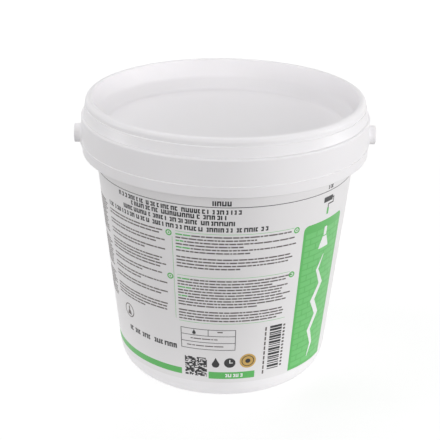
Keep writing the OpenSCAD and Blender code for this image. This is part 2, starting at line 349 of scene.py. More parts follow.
# %% [markdown]
# ## Handle studs
# Two short round studs on the collar are there to take the eyes of a handle; on this tub they
# are bare. Each grows out of the curved collar through a fillet. A cylinder pushed into the
# collar would meet it in a hard crease, so the rings of the mesh are laid on the collar's own
# face first and leave it along a quarter circle.

# %% Build the studs
STUD_R, STUD_TIP, STUD_Z = 4.4, 69.7, 114.2
STUD_FILLET, STUD_EDGE = 1.6, 0.5
STUD_SIDES, QUARTER_STEPS = 64, 8
STUD_SINK, STUD_ROOT_X = 0.03, 65.3


def collar_x(y, z):
    """How far out the face of the collar lies beside the stud."""
    if z < BAND_TOP:
        r = COLLAR_LOW_R + BAND_W * (z - COLLAR_FOOT) / BAND_H
    else:
        r = COLLAR_LOW_R + COLLAR_TAPER * (z - BAND_TOP) / (COLLAR_TOP - BAND_TOP)
    return math.sqrt(r * r - y * y)


def handle_stud(side):
    quarter = [math.pi / 2 * k / QUARTER_STEPS for k in range(QUARTER_STEPS + 1)]
    rings = [[(STUD_R + STUD_FILLET * (1 - math.sin(t)),
               STUD_FILLET * (1 - math.cos(t)) - STUD_SINK, True) for t in quarter],
             [(STUD_R - STUD_EDGE * (1 - math.cos(t)),
               STUD_TIP - STUD_EDGE * (1 - math.sin(t)), False) for t in quarter]]
    vertices = [(side * STUD_ROOT_X * MM, 0, STUD_Z * MM)]
    for r, out, on_collar in rings[0] + rings[1]:
        for i in range(STUD_SIDES):
            turn = 2 * math.pi * i / STUD_SIDES
            y, z = r * math.cos(turn), STUD_Z + r * math.sin(turn)
            x = out + (collar_x(y, z) if on_collar else 0)
            vertices.append((side * x * MM, side * y * MM, z * MM))
    vertices.append((side * STUD_TIP * MM, 0, STUD_Z * MM))
    faces, last = [], len(vertices) - 1
    for i in range(STUD_SIDES):
        j = (i + 1) % STUD_SIDES
        faces.append((0, 1 + j, 1 + i))
        for ring in range(len(quarter) * 2 - 1):
            a = 1 + ring * STUD_SIDES
            faces.append((a + i, a + j, a + STUD_SIDES + j, a + STUD_SIDES + i))
        end = last - STUD_SIDES
        faces.append((end + i, end + j, last))
    return vertices, faces


for side, name in ((1, "handle_stud_right"), (-1, "handle_stud_left")):
    piece(name, handle_stud(side), tub_plastic, "tub", "tub")

# %% [markdown]
# ## Braces under the studs
# The weight of a full tub bends each stud down, so the moulding swells into a low cone below it.
# The cone's face runs into the curved collar along a line that no simple primitive has. Each ray
# of the mesh is therefore followed outward until it reaches the collar, or the collar's foot.

# %% Build the braces
BRACE_DROP, BRACE_OUT, BRACE_TIP_R, BRACE_FLARE = 1.6, 1.4, 2.5, 2.64
BRACE_RINGS, BRACE_STEP = 6, 0.02
BRACE_Z, BRACE_X = STUD_Z - BRACE_DROP, COLLAR_LOW_R + BRACE_OUT
BRACE_FOOT = COLLAR_FOOT + COLLAR_FOOT_ROUND


def brace_reach(turn):
    """Radius at which a ray of the cone meets the collar or the level of its foot."""
    r = BRACE_TIP_R
    while True:
        z = BRACE_Z + r * math.sin(turn)
        face = BRACE_X - (r - BRACE_TIP_R) / BRACE_FLARE
        if z < BRACE_FOOT or face < collar_x(r * math.cos(turn), z) - STUD_SINK:
            return r
        r += BRACE_STEP


def stud_brace(side):
    turns = [2 * math.pi * i / STUD_SIDES for i in range(STUD_SIDES)]
    reaches = [brace_reach(turn) for turn in turns]
    vertices = [(side * BRACE_X * MM, 0, BRACE_Z * MM)]
    for ring in range(BRACE_RINGS + 2):
        share = min(ring / BRACE_RINGS, 1)
        for turn, reach in zip(turns, reaches):
            r = BRACE_TIP_R + (reach - BRACE_TIP_R) * share
            x = BRACE_X - (r - BRACE_TIP_R) / BRACE_FLARE if ring <= BRACE_RINGS else STUD_ROOT_X
            vertices.append((side * x * MM, side * r * math.cos(turn) * MM,
                             (BRACE_Z + r * math.sin(turn)) * MM))
    vertices.append((side * STUD_ROOT_X * MM, 0, BRACE_Z * MM))
    faces, last = [], len(vertices) - 1
    for i in range(STUD_SIDES):
        j = (i + 1) % STUD_SIDES
        faces.append((0, 1 + i, 1 + j))
        for ring in range(BRACE_RINGS + 1):
            a = 1 + ring * STUD_SIDES
            faces.append((a + j, a + i, a + STUD_SIDES + i, a + STUD_SIDES + j))
        end = last - STUD_SIDES
        faces.append((end + j, end + i, last))
    return vertices, faces


for side, name in ((1, "stud_brace_right"), (-1, "stud_brace_left")):
    piece(name, stud_brace(side), tub_plastic, "tub", "tub")

# %% [markdown]
# ## The lid
# The lid is one skin, 0.8 mm thick all over, as thin mouldings are: a flat sunk panel for the
# tub that stands on top, a slope, a plug wall that seals inside the rim, a rounded crest over
# the rim, a small ledge and a sloping skirt that hides a hook. Only the upper side is written
# down. The far side is worked out by moving each corner along the two neighbouring
# directions, which keeps the thickness even, where a Solidify modifier would bulge at the ledge.

# %% Work out the far side of a skin
def square_to(a, b):
    """Direction to the right of the way from a to b."""
    way = (b - a).normalized()
    return Vector((way.y, -way.x))


def far_side(corners, thickness):
    """The corners of the other side of a skin, in the same order, with their own roundings."""
    places = [Vector(corner[:2]) for corner in corners]
    moved = []
    for i, corner in enumerate(corners):
        before = square_to(places[i - 1], places[i]) if i else None
        after = square_to(places[i], places[i + 1]) if i + 1 < len(places) else None
        if before is None:
            place = places[i] + after * thickness
        elif after is None:
            place = places[i] + Vector((thickness / before.x, 0))
        else:
            place = places[i] + (before + after) * thickness / (1 + before.dot(after))
        moved.append((place.x, place.y, corner[3]))
    return moved


level_skin = [(0, 10, 0, 0), (20, 10, 0, 0), (20, 5, 0, 0)]
print("far side of a skin that turns down:", far_side(level_skin, 1))

# %% Spin the lid
LID_T, LID_TOP, PANEL_Z = 0.8, 133.4, 118.9
PLUG_R, CREST_R, STEP_R, PANEL_R, STEP_Z = 60.95, 64.1, 59.85, 55.85, 124.4
LEDGE_R, LEDGE_Z, SKIRT_R, SKIRT_Z = 64.45, 129.9, 65.25, 125.32
HOOK_R, HOOK_Z, HOOK_HALF, HOOK_ROUND = 64.0, 126.22, 0.7, 0.3
PANEL_ROUND, STEP_ROUND, PLUG_ROUND, CREST_ROUND = 2.6, 4.0, 0.88, 2.14
LEDGE_ROUND, SKIRT_OUT_ROUND, SKIRT_IN_ROUND = 0.175, 0.05, 0.12


def skirt_r(z):
    """Outer radius of the sloping skirt."""
    return SKIRT_R + (LEDGE_R - SKIRT_R) * (z - SKIRT_Z) / (LEDGE_Z - SKIRT_Z)


# A corner of the skin has radius, height, its rounding on the upper side and on the far side.
lid_skin = [
    (0, PANEL_Z, 0, 0),
    (PANEL_R, PANEL_Z, PANEL_ROUND, PANEL_ROUND + LID_T),
    (STEP_R, STEP_Z, STEP_ROUND, STEP_ROUND + LID_T),
    (PLUG_R, LID_TOP, PLUG_ROUND, PLUG_ROUND - LID_T),
    (CREST_R, LID_TOP, CREST_ROUND, CREST_ROUND - LID_T),
    (CREST_R, LEDGE_Z, LEDGE_ROUND, LEDGE_ROUND),
    (LEDGE_R, LEDGE_Z, LEDGE_ROUND, 0),
    (SKIRT_R, SKIRT_Z, SKIRT_OUT_ROUND, SKIRT_IN_ROUND),
]
under = far_side(lid_skin, LID_T)
skin_width = SKIRT_R - under[-1][0]
hook_corners = [
    (skirt_r(HOOK_Z - HOOK_HALF) - skin_width, HOOK_Z - HOOK_HALF, 0),
    (HOOK_R, HOOK_Z, HOOK_ROUND),
    (skirt_r(HOOK_Z + HOOK_HALF) - skin_width, HOOK_Z + HOOK_HALF, 0),
]
upper = [corner[:3] for corner in lid_skin]
lid_corners = upper + [under[-1]] + hook_corners + under[-2::-1]
piece("lid_shell", spun(rounded(lid_corners)[::-1]), lid_plastic, "lid", "lid")

# %% [markdown]
# ## The filler paste
# Lightweight filler is an airy paste that keeps the marks of the last tool that touched it: a
# broad swirl, a low mound in the middle and a few soft lumps. It shows only when the lid is off.
# The body of the paste is spun like the tub, with close rings on top, and then each point of the
# top is raised or lowered by a spiral wave and by Blender's own noise, which is the same at
# every run. A Displace modifier would need a texture for the same swirl.

# %% Material of the paste
# Lightweight filler is full of hollow glass beads far below 0.1 mm, so it is dead matt and
# scatters light. The grain is drawn at 0.8 mm and the open pores at 5 mm so that they show.
PASTE_GRAIN, PASTE_PORES, PASTE_CLOUD = 0.8 * MM, 5 * MM, 14 * MM
PASTE_RELIEF = 0.15 * MM
# A pore is the middle of a Voronoi cell: it falls off between these distances, to this depth.
PORE_FROM, PORE_TO, PORE_DEPTH = 0.05, 0.16, -2.0


def airy_filler_paste():
    material, tree, shader, place = new_material("airy_filler_paste", {
        "IOR": 1.45, "Roughness": 0.92, "Subsurface Weight": 0.2,
        "Subsurface Radius": (1.0, 0.97, 0.9), "Subsurface Scale": 1.2 * MM,
    })
    lumps = add_node(tree, "ShaderNodeTexNoise", {"Vector": place, "Scale": 1 / PASTE_CLOUD})
    tint = add_node(tree, "ShaderNodeMix",
                    {0: lumps.outputs["Fac"], 6: linear("#F4F3EF"), 7: linear("#EAE8E2")},
                    data_type="RGBA")
    grain = add_node(tree, "ShaderNodeTexNoise",
                     {"Vector": place, "Scale": 1 / PASTE_GRAIN, "Detail": 4})
    pores = add_node(tree, "ShaderNodeTexVoronoi", {"Vector": place, "Scale": 1 / PASTE_PORES})
    pits = add_node(tree, "ShaderNodeMapRange",
                    {0: pores.outputs["Distance"], 1: PORE_FROM, 2: PORE_TO, 3: PORE_DEPTH, 4: 0.0})
    relief = add_node(tree, "ShaderNodeMath",
                      {0: grain.outputs["Fac"], 1: pits.outputs[0]}, operation="ADD")
    bump = add_node(tree, "ShaderNodeBump",
                    {"Height": relief.outputs[0], "Strength": 0.6, "Distance": PASTE_RELIEF})
    tree.links.new(tint.outputs[2], shader.inputs["Base Color"])
    tree.links.new(bump.outputs[0], shader.inputs["Normal"])
    return material


# %% Spin and swirl the paste
PASTE_Z, PASTE_GAP, DISH, DISH_R, MOUND_R = 112.5, 0.05, 1.6, 46, 17
# Depth of the mound below the edge, as shares of the dish: its mean and its swing either way.
MOUND_MEAN, MOUND_SWING = 0.75, 0.25
TOP_RINGS, SWIRL_PITCH, SWIRL_H, LUMP, LUMP_H, LUMP_SLICE = 44, 13, 0.42, 9, 0.25, 3
# The marks fade out towards the wall and towards the middle, and the swirl wanders a little.
MARKS_END_R, MARKS_FADE, MARKS_HUB_R, SWIRL_WANDER = 57, 10, 9, 22


def trowelled(x, y):
    """Height in mm that the swirl and the lumps add to the smooth top of the paste."""
    r, turn = math.hypot(x, y), math.atan2(y, x)
    edge = min(1, max(0, (MARKS_END_R - r) / MARKS_FADE)) * min(1, r / MARKS_HUB_R)
    wander = noise.noise(Vector((x, y, 0)) / SWIRL_WANDER)
    wave = math.sin(2 * math.pi * r / SWIRL_PITCH - turn + wander)
    lump = noise.noise(Vector((x / LUMP, y / LUMP, LUMP_SLICE)))
    return edge * (SWIRL_H * wave + LUMP_H * lump)


def filler_paste():
    wall_top = neck_r(PASTE_Z) - WALL_T - PASTE_GAP
    below = rounded(cavity(PASTE_GAP))[::-1]
    top = [(wall_top, PASTE_Z)]
    for k in range(1, TOP_RINGS + 1):
        r = wall_top * (1 - k / TOP_RINGS)
        if r > DISH_R:
            dip = 0
        elif r > MOUND_R:
            dip = DISH * (1 - math.cos(math.pi * (DISH_R - r) / (DISH_R - MOUND_R))) / 2
        else:
            dip = DISH * (MOUND_MEAN - MOUND_SWING * math.cos(math.pi * r / MOUND_R))
        top.append((r, PASTE_Z - dip))
    vertices, faces = spun(below + top)
    first_top = len(vertices) - (TOP_RINGS - 1) * SEGMENTS - 1
    for i in range(first_top, len(vertices)):
        x, y, z = vertices[i]
        vertices[i] = (x, y, z + trowelled(x / MM, y / MM) * MM)
    return vertices, faces


piece("trowelled_paste", filler_paste(), airy_filler_paste(), "tub", "filler_paste")

# %% [markdown]
# ## The label film
# A printed polypropylene film, 0.12 mm thick, is wrapped round the cone of the wall and meets
# itself at the back with a small gap. It is a little greyer than the bare plastic, and its
# varnish gives a soft sheen. A copy of the wall with a Solidify modifier would close the ring,
# so the band is built by angle, which leaves the seam open.

# %% Material of the film
FILM_CLOUD, FILM_WAVE, FILM_RELIEF = 30 * MM, 2.5 * MM, 0.01 * MM


def printed_film(name, light, shade, grain, roughness):
    """A satin film or an ink on it: a faintly uneven colour under a thin varnish."""
    material, tree, shader, place = new_material(name, {
        "IOR": 1.5, "Coat Weight": 0.15, "Coat Roughness": 0.3, "Coat IOR": 1.48,
    })
    mottle = add_node(tree, "ShaderNodeTexNoise",
                      {"Vector": place, "Scale": 1 / grain, "Detail": 3})
    tint = add_node(tree, "ShaderNodeMix",
                    {0: mottle.outputs["Fac"], 6: linear(light), 7: linear(shade)},
                    data_type="RGBA")
    wave = add_node(tree, "ShaderNodeTexNoise", {"Vector": place, "Scale": 1 / FILM_WAVE})
    satin = add_node(tree, "ShaderNodeMapRange",
                     {0: wave.outputs["Fac"], 1: NOISE_LOW, 2: NOISE_HIGH,
                      3: roughness - SATIN_SPREAD, 4: roughness + SATIN_SPREAD})
    bump = add_node(tree, "ShaderNodeBump",
                    {"Height": wave.outputs["Fac"], "Strength": 0.4, "Distance": FILM_RELIEF})
    tree.links.new(tint.outputs[2], shader.inputs["Base Color"])
    tree.links.new(satin.outputs[0], shader.inputs["Roughness"])
    tree.links.new(bump.outputs[0], shader.inputs["Normal"])
    return material


label_film = printed_film("satin_label_film", "#EDEBEC", "#E8E6E7", FILM_CLOUD, 0.42)
print("material:", label_film.name)

# %% Wrap the film
FILM_GAP, FILM_T, FILM_FOOT, FILM_HEAD, SEAM_W = 0.04, 0.12, 10.78, 106.8, 1.5
FILM_STEPS = 240


def on_wall(u, z, lift):
    """A point lift mm outside the wall, u degrees to the right of the front, z mm up."""
    r, turn = (wall_r(z) + lift) * MM, math.radians(u)
    return Vector((r * math.sin(turn), -r * math.cos(turn), z * MM))


def uprights(columns):
    """A ladder of upright rungs, from columns (degrees, low mm, high mm) left to right."""
    return [((u, low), (u, high)) for u, low, high in columns]


def plates(ladders, under, over):
    """Thin closed plates that follow the wall between two lifts in mm.
    A plate is a ladder of rungs, and a rung joins two points (degrees, mm) of the wall."""
    vertices, faces = [], []
    for ladder in ladders:
        first = len(vertices)
        for rung in ladder:
            vertices += [on_wall(u, z, lift) for lift in (under, over) for u, z in rung]
        for a in range(first, len(vertices) - 4, 4):
            b = a + 4
            faces += [(a + 2, b + 2, b + 3, a + 3), (a, a + 1, b + 1, b),
                      (a, b, b + 2, a + 2), (a + 1, a + 3, b + 3, b + 1)]
        a, b = first, len(vertices) - 4
        faces += [(a, a + 2, a + 3, a + 1), (b, b + 1, b + 3, b + 2)]
    return vertices, faces


half_seam = math.degrees(SEAM_W / 2 / wall_r(FILM_HEAD))
film_columns = [(-180 + half_seam + (360 - 2 * half_seam) * k / FILM_STEPS, FILM_FOOT, FILM_HEAD)
                for k in range(FILM_STEPS + 1)]
piece("label_film", plates([uprights(film_columns)], FILM_GAP, FILM_GAP + FILM_T),
      label_film, "tub", "label")

# %% [markdown]
# ## Print as thin plates
# Ink is only a few thousandths of a millimetre thick, and it could be painted with a texture.
# Here each mark is a real plate, 0.02 mm thick, so that its edge stays crisp in every view. The
# design is a generic one: bars and open boxes stand for words, and simple pictures of a filling
# knife, a crack, a paint roller, a clock and a drop say what the tub is for.

# %% Helpers for the print
INK_T, INK_CLEAR, LAYER_STEP = 0.02, 0.012, 1.5
INK_LIFT = FILM_GAP + FILM_T + INK_CLEAR
RUNG_STEP = 1.5
PRINT_SEED = 20
draw = random.Random(PRINT_SEED)


def per_mm(z):
    """Degrees round the wall for one millimetre at a height."""
    return math.degrees(1 / wall_r(z))


def fine(ladder):
    """The same ladder with rungs close enough to follow the curve of the wall."""
    rungs = [ladder[0]]
    for rung, following in zip(ladder, ladder[1:]):
        pairs = [(Vector(a), Vector(b)) for a, b in zip(rung, following)]
        steps = max(1, math.ceil(max(abs(b.x - a.x) for a, b in pairs) / RUNG_STEP))
        rungs += [[a.lerp(b, k / steps) for a, b in pairs] for k in range(1, steps + 1)]
    return rungs


def bar(left, right, low, high):
    """A plain upright rectangle between two angles."""
    return uprights([(left, low, high), (right, low, high)])


def at(u, z, columns):
    """A small shape drawn in columns of millimetres round its own middle, set on the wall."""
    return uprights([(u + x * per_mm(z), z + low, z + high) for x, low, high in columns])


def ink(name, ladders, material, layer=0):
    """One piece of print; each layer lies LAYER_STEP ink thicknesses above the one before."""
    under = INK_LIFT + layer * LAYER_STEP * INK_T
    return piece(name, plates([fine(ladder) for ladder in ladders], under, under + INK_T),
                 material, "tub")


print("1 mm at the foot of the film spans", round(per_mm(FILM_FOOT), 2), "degrees")

# %% [markdown]
# ## Inks
# Offset inks on film are smooth and slightly glossy, with a fine mottle where the dots of the
# screen run together. The screen is far below 0.1 mm, so the mottle is drawn at 0.7 mm. The gold
# is a bronze-coloured ink, not a metal foil, so it stays an ordinary satin colour.

# %% Material of the inks
INK_MOTTLE = 0.7 * MM
dark_ink = printed_film("offset_ink_dark", "#252527", "#1D1D1F", INK_MOTTLE, 0.45)
grey_ink = printed_film("offset_ink_grey", "#625B5A", "#585150", INK_MOTTLE, 0.45)
green_ink = printed_film("offset_ink_green", "#5FBA61", "#56B159", INK_MOTTLE, 0.42)
pale_green_ink = printed_film("offset_ink_pale_green", "#70C672", "#67BE6A", INK_MOTTLE, 0.42)
white_ink = printed_film("offset_ink_white", "#F3F4F3", "#ECEDEC", INK_MOTTLE, 0.42)
gold_ink = printed_film("offset_ink_gold", "#D2AE62", "#C49C50", INK_MOTTLE, 0.38)
inks = (dark_ink, grey_ink, green_ink, pale_green_ink, white_ink, gold_ink)
print("inks:", [colour.name for colour in inks])

# %% Rules and bands
# Rules and bands go from a left to a right place in degrees and from a low to a high one in mm.
# Those that run round the back stop short of the seam.
SEAM_CLEAR = 179.0
HEAD_RULE = (-SEAM_CLEAR, SEAM_CLEAR, 101.0, 101.3)
FOOT_BANDS = (
    (-SEAM_CLEAR, -22.4, 13.6, 16.9),
    (-8.0, 16.0, 12.9, 16.6),
    (84, SEAM_CLEAR, 13.6, 16.9),
)
THIN = 0.16
UPRIGHT_RULE = (-24.2, -24.2 + THIN, 43.6, 85.0)
LEVEL_RULES, RULE_LEFT, RULE_RIGHT = (42.6, 66.3, 88.0), -22.5, 30.5
thin_rules = [bar(*UPRIGHT_RULE)] + [bar(RULE_LEFT, RULE_RIGHT, z, z + THIN) for z in LEVEL_RULES]
ink("print_head_rule", [bar(*HEAD_RULE)], dark_ink)
ink("print_foot_bands", [bar(*band) for band in FOOT_BANDS], green_ink)
ink("print_thin_rules", thin_rules, pale_green_ink)

# %% [markdown]
# ## Marks for words
# Small print on such a label has letters about 0.8 mm high, which the photograph does not
# resolve. Each word is one bar of a random length, set in lines about 1.5 mm apart, and some
# paragraphs open with two green words. The letters of a heading are just large enough to be told
# apart, so each is a stem, or a box of bold strokes with one side left open: it has the texture of
# a letter and spells nothing.

# %% Lines of words and headings
WORD_GAP, WORD_H, SHORT_WORD, LONG_WORD = 0.34, 0.66, 0.9, 4.2
# Sizes of a heading's letters are shares of their height; the narrowest letter is a plain stem.
STROKE, LETTER_GAP, SPACE = 0.29, 0.13, 0.4
LETTER_WIDTHS = (0.3, 0.72, 0.76, 0.8, 0.84, 0.9)
LETTERS_IN_WORD = (4, 9)
# How much of its column's width the last line of a paragraph fills, and any other line.
LAST_LINE, FULL_LINE = (0.55, 0.95), (0.96, 1)


def words(left, right, z, height=WORD_H):
    """Bars for the words of one line, which ends where the next word would not fit."""
    shapes, u = [], left
    while True:
        width = draw.uniform(SHORT_WORD, LONG_WORD) * per_mm(z)
        if u + width > right:
            return shapes
        shapes.append(bar(u, u + width, z - height / 2, z + height / 2))
        u += width + WORD_GAP * per_mm(z)


def frame_of(left, right, low, high, stroke):
    """Four bars round a box."""
    side = stroke * per_mm((low + high) / 2)
    return [bar(left, left + side, low, high), bar(right - side, right, low, high),
            bar(left + side, right - side, low, low + stroke),
            bar(left + side, right - side, high - stroke, high)]


def heading(left, right, z, cap):
    """Open boxes and stems for the letters of a heading, as many as fit."""
    shapes, u, scale, letters = [], left, per_mm(z) * cap, draw.randint(*LETTERS_IN_WORD)
    low, high = z - cap / 2, z + cap / 2
    while True:
        width = draw.choice(LETTER_WIDTHS)
        if u + width * scale > right:
            return shapes
        if width == LETTER_WIDTHS[0]:
            shapes.append(bar(u, u + width * scale, low, high))
        else:
            sides = frame_of(u, u + width * scale, low, high, STROKE * cap)
            del sides[draw.randrange(len(sides))]
            shapes += sides
        u += (width + LETTER_GAP) * scale
        letters -= 1
        if letters == 0:
            u += SPACE * scale
            letters = draw.randint(*LETTERS_IN_WORD)


def small_print(left, right, z, pitch, plan):
    """The plain and the green bars of a column of small print. For each paragraph the plan
    gives the number of lines, the blank lines after it and the number of green words."""
    plain, green = [], []
    for lines, blank, led in plan:
        for k in range(lines):
            share = draw.uniform(*(LAST_LINE if k == lines - 1 else FULL_LINE))
            line = words(left, left + (right - left) * share, z)
            cut = led if k == 0 else 0
            green += line[:cut]
            plain += line[cut:]
            z -= pitch
        z -= blank * pitch
    return plain, green


print("words are", SHORT_WORD, "to", LONG_WORD, "mm long")

# %% Set the small print and the headings
# A paragraph has a number of lines, of blank lines after it and of green words at its start.
PAIRS = ((2, 1, 0),) * 3
UPPER = ((2, 0, 2), (2, 0, 2), (2, 1, 2), (4, 0, 0))
LOWER = ((3, 0, 2), (3, 0, 2), (4, 1, 2), (4, 0, 0))
SIDE = PAIRS + ((4, 1, 0),) + PAIRS + ((0, 1, 0), (4, 0, 0))
DENSE = ((14, 1, 0), (12, 1, 0), (11, 0, 0))
# A column has its left and right place in degrees, the height of its top line, the pitch of its
# lines and its plan.
COLUMNS = (
    (-22.5, 33.0, 86.6, 1.57, UPPER),
    (-22.5, 32.5, 64.7, 1.47, LOWER),
    (-64.0, -26.2, 87.2, 1.55, SIDE),
    (-114, -66.5, 89.0, 1.3, DENSE),
    (-168, -124, 87.2, 1.55, SIDE),
)
# A heading has its left and right place in degrees, its height on the wall and its letters' height.
CAP = 2.1
HEADINGS = (
    (-6.2, 3.2, 103.0, 2.3),
    (-57, -23, 28.3, 2.4),
    (-53, 7.5, 98.9, CAP),
    (-45, 0, 96.3, CAP),
    (-50.5, 5, 93.4, CAP),
    (-63.5, 18.5, 90.3, CAP),
)
plain, lead = [], []
for column in COLUMNS:
    for store, bars in zip((plain, lead), small_print(*column)):
        store += bars
title = [shape for line in HEADINGS for shape in heading(*line)]
ink("print_headings", title, dark_ink)
ink("print_small_words", plain, grey_ink)
ink("print_lead_words", lead, green_ink)

# %% [markdown]
# ## Pictures in a few rungs
# A small picture is a ladder whose rungs stand upright, like a very coarse bar chart, or lie
# level, like a stack of planks. That is enough for a disc, a ring, a knife, a drop or a zigzag
# crack, and it needs no triangulation. What lies on a coloured ground goes one or more layers
# higher: a level rung is a straight chord of the round wall, so the wide crack needs three.

# %% Shapes for the pictures
# A round shape has this many steps, and leaves out the ends of its half turn, where a column
# would have no height.
DISC_STEPS, DISC_FROM, DISC_SPAN = 20, 0.04, 0.92
RING_STEPS, RING_FROM, RING_SPAN = 24, 0.03, 0.94


def disc(u, z, r):
    """A round dot; its first and last columns are very short."""
    turns = [math.pi * (DISC_FROM + DISC_SPAN * k / DISC_STEPS) for k in range(DISC_STEPS + 1)]
    return at(u, z, [(-r * math.cos(t), -r * math.sin(t), r * math.sin(t)) for t in turns])


def ring(u, z, r, w):
    """A circle of width w, as an upper and a lower half."""
    arc = []
    for k in range(RING_STEPS + 1):
        t = math.pi * (RING_FROM + RING_SPAN * k / RING_STEPS)
        x = -r * math.cos(t)
        arc.append((x, math.sqrt(max(0, (r - w) ** 2 - x * x)), r * math.sin(t)))
    return [at(u, z, arc), at(u, z, [(x, -high, -low) for x, low, high in arc])]


KNIFE_BLADE = ((-1.9, -2.7, -2.3), (-0.8, -2.7, 0.3), (0.8, -2.7, 0.3), (1.9, -2.7, -2.3))
KNIFE_GRIP = ((-0.55, 0.6, 2.6), (-0.3, 0.6, 2.9), (0.3, 0.6, 2.9), (0.55, 0.6, 2.6))


def knife(u, z, size):
    """A filling knife with its blade down."""
    return [at(u, z, [(x * size, low * size, high * size) for x, low, high in part])
            for part in (KNIFE_BLADE, KNIFE_GRIP)]


DROP_STEPS, DROP_R, DROP_LOW, DROP_TIP, DROP_SLOPE, DROP_LEAST = 16, 1.5, 0.7, 2.5, 2.1, 0.01


def drop(u, z, size):
    """A drop of water: a disc drawn out to a tip."""
    columns = []
    for k in range(DROP_STEPS + 1):
        x = -DROP_R + 2 * DROP_R * k / DROP_STEPS
        half = math.sqrt(max(DROP_LEAST, DROP_R ** 2 - x * x))
        high = max(-DROP_LOW + half, DROP_TIP - DROP_SLOPE * abs(x))
        columns.append((x * size, (-DROP_LOW - half) * size, high * size))
    return at(u, z, columns)


def blocks(u, z, size, parts):
    """A picture made of plain blocks, each given as (left, right, low, high)."""
    return [at(u, z, [(x * size, low * size, high * size) for x in (left, right)])
            for left, right, low, high in parts]


CLOCK_HANDS = ((-0.2, 0.2, -0.2, 1.5), (0.2, 1.2, -0.2, 0.2))
ROLLER_SLEEVE, ROLLER_GRIP = (-3.2, 2.4, 1.5, 3.7), (-0.6, 0.6, -4.0, -1.2)
ROLLER_WIRE = ((2.4, 3.5, 2.35, 2.85), (3.0, 3.5, 0.1, 2.35),
               (-0.25, 3.0, 0.1, 0.6), (-0.25, 0.25, -1.2, 0.1))


def crack(u, z, bends):
    """A crack that runs down, from bends given as (height, middle, width) in mm."""
    k = per_mm(z)
    return [((u + (x - w / 2) * k, z + y), (u + (x + w / 2) * k, z + y)) for y, x, w in bends]


print("a disc has", DISC_STEPS + 1, "rungs and each half of a ring", RING_STEPS + 1)

# %% Small marks beside the columns
MARKS = ((-25.7, 86.7), (-26.0, 64.9), (32.0, 86.7), (31.8, 64.6))
MARK_R, MARK_W, MARK_DOT = 1.5, 0.6, 0.45
ink("print_marks", [half for u, z in MARKS for half in ring(u, z, MARK_R, MARK_W)], green_ink)
ink("print_mark_dots", [disc(u, z, MARK_DOT) for u, z in MARKS], pale_green_ink)

# %% [markdown]
# ## Small boxes along the foot
# Along its foot such a label has a table of data, a block of squares and a block of stripes for
# machines to read, a few handling signs and a gold seal. They are drawn empty of meaning: thin
# frames, short bars, random squares and signs.

# %% Table of data
# A line of words has its left and right place, its height on the wall and its words' height.
TABLE = (-22, 5.4, 28.5, 39.4)
TABLE_LINE, TABLE_ROWS, ROW_LEFT, ROW_RIGHT = 0.28, (32.2, 35.8), -21.7, 5.1
TABLE_SPLIT = (-8.3, -8.0, 36.0, 39.12)
TABLE_WORDS = ((-17, -3, 34.2, 0.5), (-19, 1, 30.5, 0.5), (-3.6, 0, 38.2, 0.6))
TABLE_DROP = (-15.2, 37.6, 0.55)
boxes = frame_of(*TABLE, TABLE_LINE) + [bar(*TABLE_SPLIT)]
boxes += [bar(ROW_LEFT, ROW_RIGHT, z, z + TABLE_LINE) for z in TABLE_ROWS]
cells = [shape for line in TABLE_WORDS for shape in words(*line)]
print("table:", len(boxes), "lines,", len(cells), "words")

# %% Squares and stripes
SQUARE, SQUARES, SQUARE_SHARE, LONGEST_RUN = 0.51, 20, 0.66, 2
SQUARES_LEFT, SQUARES_LOW, SQUARES_MIDDLE = -20.4, 13.9, 19
STRIPES_LEFT, STRIPES_RIGHT, STRIPES_LOW, STRIPES_HIGH = 22.8, 29.4, 16.0, 39.5
STRIPE_WIDTHS, STRIPE_GAPS = (0.5, 0.8, 1.2), (0.35, 0.6)
# A row of digits has its left and right place, its foot, and the height, pitch and count of digits.
DIGIT_ROWS = ((30.2, 31.4, 16.5, 1.0, 1.8, 13), (20.2, 21.0, 14.0, 2.0, 2.6, 10))
squares = []
for row in range(SQUARES):
    k, z = 0, SQUARES_LOW + row * SQUARE
    while k < SQUARES:
        run = min(draw.randint(1, LONGEST_RUN), SQUARES - k)
        if draw.random() < SQUARE_SHARE:
            u = SQUARES_LEFT + k * SQUARE * per_mm(SQUARES_MIDDLE)
            squares.append(bar(u, u + run * SQUARE * per_mm(SQUARES_MIDDLE), z, z + SQUARE))
        k += run
stripes, z = [], STRIPES_LOW
while z < STRIPES_HIGH:
    width = draw.choice(STRIPE_WIDTHS)
    stripes.append(bar(STRIPES_LEFT, STRIPES_RIGHT, z, z + width))
    z += width + draw.choice(STRIPE_GAPS)
digits = []
for left, right, low, height, pitch, count in DIGIT_ROWS:
    digits += [bar(left, right, low + pitch * k, low + height + pitch * k) for k in range(count)]
print(len(squares), "squares,", len(stripes), "stripes,", len(digits), "digits")

# %% Signs, seal and stamp
DROP_SIGN, CLOCK, CLOCK_R, HANDS_SIZE = (-4.4, 21.6, 1.15), (2.8, 21.7), 2.6, 1.1
SEAL, SEAL_R, SEAL_RING_R, SEAL_RING_W, SEAL_DOT = (12.1, 22.4), 3.8, 2.9, 0.35, 1.2
STAMP, STAMP_R, STAMP_W, STAMP_KNIFE = (-56.0, 37.5), 3.6, 0.5, 0.8
BAND_HEADING = (0, 12, 14.75, 1.8)
signs = [drop(*TABLE_DROP), drop(*DROP_SIGN), disc(*CLOCK, CLOCK_R)]
seal_ring = ring(*SEAL, SEAL_RING_R, SEAL_RING_W) + [disc(*SEAL, SEAL_DOT)]
stamp = ring(*STAMP, STAMP_R, STAMP_W) + knife(*STAMP, STAMP_KNIFE)
ink("print_boxes", boxes, dark_ink)
ink("print_table_words", cells + digits, grey_ink)
ink("print_squares", squares, dark_ink)
ink("print_stripes", stripes, dark_ink)
ink("print_signs", signs, dark_ink)
ink("print_sign_hands", blocks(*CLOCK, HANDS_SIZE, CLOCK_HANDS), white_ink, 1)
ink("print_seal", [disc(*SEAL, SEAL_R)], gold_ink)
